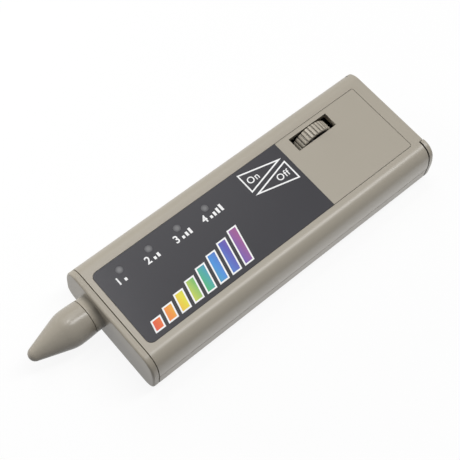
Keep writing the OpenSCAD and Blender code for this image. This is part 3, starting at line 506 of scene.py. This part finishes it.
# Painted light: the wheel gets a lighter copy of the case's beige
dress(["thumbwheel"], wheel_plastic(*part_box("thumbwheel"), LIT_WHEEL_BEIGE))
dress(["rear_end_cap"], rear_cap_plastic(GAP_FACE, BEIGE))
dress(["face_label"], moulded_plastic("label_film", LABEL_GREY, roughness=0.22, tint=0.03, grain=0.2 * MM,
                                      Specular_IOR_Level=0.3))
dress(["lamp_windows"], lamp_lens(LAMP_X, LAMP_PITCH, LAMP_Y, LAMP_R))
dress(["switch_body", "led_spacers", "controller_chip", "amplifier_chip", "buzzer", "resistors", "regulator",
       "probe_bush"], moulded_plastic("black_plastic", BLACK, roughness=0.5, tint=0.12))
dress(["capacitors", "trimmer"], moulded_plastic("blue_plastic", BLUE, roughness=0.3, tint=0.05))
dress(["circuit_board"], board_laminate())
steel = worked_metal("steel", STEEL, roughness=0.32, lay=EVEN)
dress(["wheel_shaft", "wheel_screw", "board_screws", "case_screws", "probe_spring"], steel)
dress(["battery_contacts", "battery_link", "battery_springs"],
      worked_metal("nickel", NICKEL, roughness=0.26, lay=ALONG_Z))
dress(["switch_terminals", "probe_sleeve"], worked_metal("brass", BRASS, roughness=0.28, lay=AROUND_X))
dress(["probe_needle"], worked_metal("copper", COPPER, roughness=0.26, lay=AROUND_X))
dress(["probe_heater"], moulded_plastic("ceramic", CERAMIC, roughness=0.6, tint=0.03))
dress(["battery_cell_left", "battery_cell_right"], cell_wrap(CELL_LOW[0], CELL_HIGH[0] - CELL_LOW[0]))
dress(["battery_leads", "probe_leads"], moulded_plastic("wire", WIRE_RED, roughness=0.4, tint=0.05))
for number, colour in enumerate(LED_COLOURS, 1):
    dress([f"indicator_led_{number}"], led_epoxy(f"led_{number}", colour))

# Edge radius, and the corners of the box within which edges stay sharp, in millimetres
FAR = 500
NOWHERE = ((FAR, FAR, FAR), (FAR, FAR, FAR))
LED_EDGE = 0.05
EDGES = {
    "top_shell": (0.08, (-FAR, -18.5, -FAR), (FAR, 18.5, 15.5)),
    "bottom_shell": (0.15, (-FAR, -18.5, 1.0), (FAR, 18.5, FAR)),
    "front_end_cap": (0.06, (-44.2, -FAR, -FAR), (FAR, FAR, FAR)),
    "rear_end_cap": (0.08, (-FAR, -FAR, -FAR), (68.3, FAR, FAR)),
    "face_plate": (0.10, (-FAR, -FAR, -FAR), (FAR, FAR, 16.0)),
    "thumbwheel": (0.12, *NOWHERE),
    "probe_cap": (0.15, *NOWHERE),
    "battery_door": (0.15, *NOWHERE),
}
for number in range(1, LAMPS + 1):
    EDGES[f"indicator_led_{number}"] = (LED_EDGE, *NOWHERE)
for name, settings in EDGES.items():
    soften(name, *settings)


# New pieces
def join_rings(mesh, first, second):
    """Faces between two closed rings of as many points."""
    count = len(first)
    pairs = [(i, (i + 1) % count) for i in range(count)]
    return [mesh.faces.new((first[i], first[j], second[j], second[i])) for i, j in pairs]


def make_piece(name, mesh, material):
    """An object from a bmesh, with a finish."""
    bmesh.ops.recalc_face_normals(mesh, faces=mesh.faces)
    data = bpy.data.meshes.new(name)
    mesh.to_mesh(data)
    mesh.free()
    data.materials.append(material)
    piece = bpy.data.objects.new(name, data)
    SCENE.collection.objects.link(piece)
    return piece


# Spring behind the probe's needle
SPRING_WIRE = 0.3 * MM
SPRING_TURNS = 7
CLOSED_PITCH = 0.33 * MM
TURN_STEPS = 24
WIRE_SIDES = 10


def coil_rings(mesh, low, high):
    """Rings of points round the wire of a coil that fills a box along X and has closed ends."""
    wire = SPRING_WIRE / 2
    radius = (high[1] - low[1]) / 2 - wire
    pitch = (high[0] - low[0] - SPRING_WIRE - 2 * CLOSED_PITCH) / (SPRING_TURNS - 2)
    along = Vector((1, 0, 0))
    start = Vector((low[0] + wire, (low[1] + high[1]) / 2, (low[2] + high[2]) / 2))
    sides = [2 * math.pi * i / WIRE_SIDES for i in range(WIRE_SIDES)]
    rings = []
    for step in range(SPRING_TURNS * TURN_STEPS + 1):
        turn = step / TURN_STEPS
        opened = min(max(turn - 1, 0), SPRING_TURNS - 2)
        angle = 2 * math.pi * turn
        out = Vector((0, math.cos(angle), math.sin(angle)))
        centre = start + along * (opened * pitch + (turn - opened) * CLOSED_PITCH) + out * radius
        ring = [centre + (out * math.cos(a) + along * math.sin(a)) * wire for a in sides]
        rings.append([mesh.verts.new(point) for point in ring])
    return rings


def make_spring(name, node, material):
    """Coil in a node's place, fixed to the case in the node's stead."""
    low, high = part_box(node)
    mesh = bmesh.new()
    rings = coil_rings(mesh, low, high)
    for first, second in zip(rings, rings[1:]):
        for face in join_rings(mesh, first, second):
            face.smooth = True
    mesh.faces.new(rings[0])
    mesh.faces.new(rings[-1])
    piece = make_piece(name, mesh, material)
    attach(piece, "case")
    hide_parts(node)
    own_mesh(piece)


make_spring("press_spring", "probe_spring", steel)

# Print on the label: points, from the middle of its front edge, and heights of letters are in millimetres
LABEL_LOW, LABEL_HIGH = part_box("face_label")
INK_T = 0.02 * MM
STROKE = 0.5 * MM
SLIVER = 0.004 * MM
FONT_EM = 1.43
SPACING = 1.12
CURVE_STEPS = 6


def add_prism(mesh, outer, inner=None):
    """A flat outline, or the frame between two outlines, raised to the thickness of the ink."""
    heights = (LABEL_HIGH[2], LABEL_HIGH[2] + INK_T)
    prisms = []
    for outline in filter(None, (outer, inner)):
        prisms.append([[mesh.verts.new((x, y, z)) for x, y in outline] for z in heights])
    for low, high in prisms:
        join_rings(mesh, low, high)
    if inner:
        for outer_ring, inner_ring in zip(*prisms):
            join_rings(mesh, outer_ring, inner_ring)
    else:
        for ring in prisms[0]:
            mesh.faces.new(ring)


def finish_print(name, mesh, material):
    """Makes a piece of the label's print from a bmesh."""
    bmesh.ops.remove_doubles(mesh, verts=mesh.verts, dist=SLIVER)
    piece = make_piece(name, mesh, material)
    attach(piece, "case")


def inset(outline, distance):
    """An outline drawn in by a distance on every side; its points run anticlockwise."""
    points = [Vector(p) for p in outline]
    result = []
    for i, point in enumerate(points):
        before = (point - points[i - 1]).normalized()
        after = (points[(i + 1) % len(points)] - point).normalized()
        half = (1 + before.dot(after)) / 2
        normal = Vector((-before.y - after.y, before.x + after.x)) / 2
        result.append(tuple(point + normal * (distance / half)))
    return result


def on_label(points):
    """Turns points on the label from millimetres into the frame's metres."""
    return [(LABEL_LOW[0] + x * MM, y * MM) for x, y in points]


def add_text(mesh, text, x, y, height, bold):
    """Letters with the left end of their base line at x, y, swollen by bold times their size."""
    curve = bpy.data.curves.new("letters", "FONT")
    curve.body = text
    curve.size = height * MM * FONT_EM
    curve.offset = bold * curve.size
    curve.space_character = SPACING
    curve.extrude = INK_T / 2
    curve.resolution_u = CURVE_STEPS
    letters = bpy.data.objects.new("letters", curve)
    SCENE.collection.objects.link(letters)
    bpy.context.view_layer.update()
    shape = bpy.data.meshes.new_from_object(letters.evaluated_get(bpy.context.evaluated_depsgraph_get()))
    left, low = on_label([(x, y)])[0]
    for vertex in shape.vertices:
        vertex.co += Vector((left, low, LABEL_HIGH[2] + INK_T / 2))
    mesh.from_mesh(shape)
    bpy.data.objects.remove(letters)
    bpy.data.curves.remove(curve)
    bpy.data.meshes.remove(shape)


white = printing_ink("white_ink", INK_WHITE)

# Lamp numbers with a row of level bars, whose heights are shares of the number's
NUMBER_LEFT = -3.4
NUMBER_BASE = 6.1
NUMBER_HEIGHT = 2.5
NUMBER_BOLD = 0.020
LEVEL_LEFT = 2.7
LEVEL_PITCH = 1.45
LEVEL_WIDTH = 0.85
LEVEL_LOW = 0.4
LEVEL_RISE = 0.2

marks = bmesh.new()
for lamp in range(LAMPS):
    left = (LAMP_X + lamp * LAMP_PITCH - LABEL_LOW[0]) / MM + NUMBER_LEFT
    add_text(marks, str(lamp + 1), left, NUMBER_BASE, NUMBER_HEIGHT, NUMBER_BOLD)
    for level in range(lamp + 1):
        x = left + LEVEL_LEFT + level * LEVEL_PITCH
        top = NUMBER_BASE + NUMBER_HEIGHT * (LEVEL_LOW + LEVEL_RISE * level)
        corners = [(x, NUMBER_BASE), (x + LEVEL_WIDTH, NUMBER_BASE), (x + LEVEL_WIDTH, top), (x, top)]
        add_prism(marks, on_label(corners))
finish_print("lamp_numbers", marks, white)

# Switch marks: two facing triangles with a word in each
TRIANGLES = [
    [(56.0, 12.65), (56.0, 5.0), (71.5, 8.84)],
    [(71.7, -0.2), (71.7, 7.55), (56.2, 3.65)],
]
WORDS = [("On", 57.3, 7.7), ("Off", 65.4, 2.7)]
WORD_HEIGHT = 2.3
WORD_BOLD = 0.011

marks = bmesh.new()
for corners in TRIANGLES:
    outer = on_label(corners)
    add_prism(marks, outer, inset(outer, STROKE))
finish_print("switch_triangles", marks, white)
marks = bmesh.new()
for word, x, y in WORDS:
    add_text(marks, word, x, y, WORD_HEIGHT, WORD_BOLD)
finish_print("switch_words", marks, white)

# Rising bars in the colours of the spectrum, which lean by a share of their height
BAR_COUNT = 8
BAR_LEFT = 3.5
BAR_BASE = -12.4
BAR_PITCH = 4.9
BAR_WIDTH = 3.7
BAR_LEAN = 0.25
BAR_LOW = 4.0
BAR_RISE = 1.2

bars = bmesh.new()
outlines = bmesh.new()
for number in range(BAR_COUNT):
    x = BAR_LEFT + number * BAR_PITCH
    height = BAR_LOW + number * BAR_RISE
    lean = BAR_LEAN * height
    corners = on_label([
        (x, BAR_BASE),
        (x + BAR_WIDTH, BAR_BASE),
        (x + BAR_WIDTH + lean, BAR_BASE + height),
        (x + lean, BAR_BASE + height),
    ])
    inner = inset(corners, STROKE)
    add_prism(outlines, corners, inner)
    add_prism(bars, inner)
BAR_END = BAR_LEFT + BAR_COUNT * BAR_PITCH
ink_start, ink_end = [x for x, _ in on_label([(BAR_LEFT, 0), (BAR_END, 0)])]
finish_print("spectrum_bars", bars, spectrum_ink(ink_start, ink_end))
finish_print("spectrum_outlines", outlines, white)


# Studio
CAMERA_PLACE = (-111.80 * MM, -96.25 * MM, 301.06 * MM)
CAMERA_AZIMUTH = math.radians(-49.239)
CAMERA_ELEVATION = math.radians(62.679)
CAMERA_ROLL = math.radians(9.384)
CAMERA_LENS = 82.3
CAMERA_SENSOR = 36
CAMERA_NEAR = 10 * MM
CAMERA_FAR = 10


def make_camera():
    """Camera at the photograph's viewing angle."""
    data = bpy.data.cameras.new("camera")
    data.sensor_width = CAMERA_SENSOR
    data.lens = CAMERA_LENS
    data.clip_start = CAMERA_NEAR
    data.clip_end = CAMERA_FAR
    camera = bpy.data.objects.new("camera", data)
    SCENE.collection.objects.link(camera)
    level = math.cos(CAMERA_ELEVATION)
    back = Vector((
        math.sin(CAMERA_AZIMUTH) * level,
        -math.cos(CAMERA_AZIMUTH) * level,
        math.sin(CAMERA_ELEVATION),
    ))
    camera.location = CAMERA_PLACE
    camera.rotation_mode = "QUATERNION"
    camera.rotation_quaternion = (-back).to_track_quat("-Z", "Y") @ Quaternion((0, 0, 1), CAMERA_ROLL)
    SCENE.camera = camera


def seen_directly(tree):
    """1 for rays from the camera, from reflections and through glass, and 0 for the rest."""
    path = add(tree, "ShaderNodeLightPath").outputs
    seen = math_node(tree, "MAXIMUM", path["Is Camera Ray"], path["Is Glossy Ray"])
    return math_node(tree, "MAXIMUM", seen, path["Is Transmission Ray"])


WORLD_LIGHT = 0.12


def make_world():
    """White where it is seen, and a plain soft light on the object."""
    world = bpy.data.worlds.new("studio")
    SCENE.world = world
    world.use_nodes = True
    tree = world.node_tree
    tree.nodes.clear()
    lit = add(tree, "ShaderNodeBackground", Color=LIGHT_WHITE, Strength=WORLD_LIGHT).outputs[0]
    seen = add(tree, "ShaderNodeBackground", Color=LIGHT_WHITE, Strength=1.0).outputs[0]
    mix = add(tree, "ShaderNodeMixShader", {0: seen_directly(tree), 1: lit, 2: seen})
    add(tree, "ShaderNodeOutputWorld", {"Surface": mix.outputs[0]})


# Floor: the share of plain white in what is seen, and the paper's colour as seen and as it lights the object
FLOOR_WIDTH = 3.0
FLOOR_DROP = 0.02 * MM
FLOOR_WHITE = 0.90
FLOOR_CORNERS = [(-0.5, -0.5), (0.5, -0.5), (0.5, 0.5), (-0.5, 0.5)]
PAPER_SEEN = (0.96, 0.96, 0.96, 1)
PAPER_LIT = (0.25, 0.25, 0.25, 1)


def make_floor():
    """Pale floor, nearly white where it is seen, that keeps a soft shadow of the object."""
    mesh = bpy.data.meshes.new("floor")
    corners = [(x * FLOOR_WIDTH, y * FLOOR_WIDTH, -FLOOR_DROP) for x, y in FLOOR_CORNERS]
    mesh.from_pydata(corners, [], [(0, 1, 2, 3)])
    floor = bpy.data.objects.new("floor", mesh)
    SCENE.collection.objects.link(floor)
    material = bpy.data.materials.new("floor_paper")
    material.use_nodes = True
    tree = material.node_tree
    tree.nodes.clear()
    seen = seen_directly(tree)
    colour = blend(tree, seen, PAPER_LIT, PAPER_SEEN)
    paper = add(tree, "ShaderNodeBsdfDiffuse", {"Color": colour}).outputs[0]
    white_light = add(tree, "ShaderNodeEmission", Color=LIGHT_WHITE, Strength=1.0).outputs[0]
    share = math_node(tree, "MULTIPLY", seen, FLOOR_WHITE)
    mix = add(tree, "ShaderNodeMixShader", {0: share, 1: paper, 2: white_light})
    add(tree, "ShaderNodeOutputMaterial", {"Surface": mix.outputs[0]})
    material.cycles.emission_sampling = "NONE"
    mesh.materials.append(material)


# Lights: name, place, width and height, watts, the point each faces, and whether reflections show it
MIDDLE = (0, 0, 0)
LIGHTS = [
    ("key", (0.16, 0.68, 0.94), (0.80, 0.60), 2.4, MIDDLE, True),
    ("front_fill", (-0.14, 0.30, 0.08), (0.10, 0.10), 0.48, (-0.045, 0.0, 0.010), False),
    ("front_soft", (-0.42, 0.20, 0.40), (0.25, 0.25), 0.30, MIDDLE, False),
    ("top_strip", (0.23, -0.06, 0.62), (0.14, 0.54), 2.4, MIDDLE, True),
    ("cone_strip", (-0.03, 0.28, 0.86), (0.30, 0.08), 1.0, MIDDLE, True),
    ("floor_card", (0.02, -0.042, 0.001), (0.13, 0.036), 0.009, (0.02, -0.042, 1.0), True),
]


def make_light(name, location, size, power, target, glossy):
    """Rectangular soft light, out of the camera's sight."""
    data = bpy.data.lights.new(name, "AREA")
    data.shape = "RECTANGLE"
    data.size, data.size_y = size
    data.energy = power
    light = bpy.data.objects.new(name, data)
    light.location = location
    light.rotation_mode = "QUATERNION"
    light.rotation_quaternion = (Vector(target) - Vector(location)).to_track_quat("-Z", "Y")
    light.visible_camera = False
    light.visible_glossy = glossy
    SCENE.collection.objects.link(light)


make_camera()
make_world()
make_floor()
for settings in LIGHTS:
    make_light(*settings)

SCENE.view_settings.view_transform = "Standard"
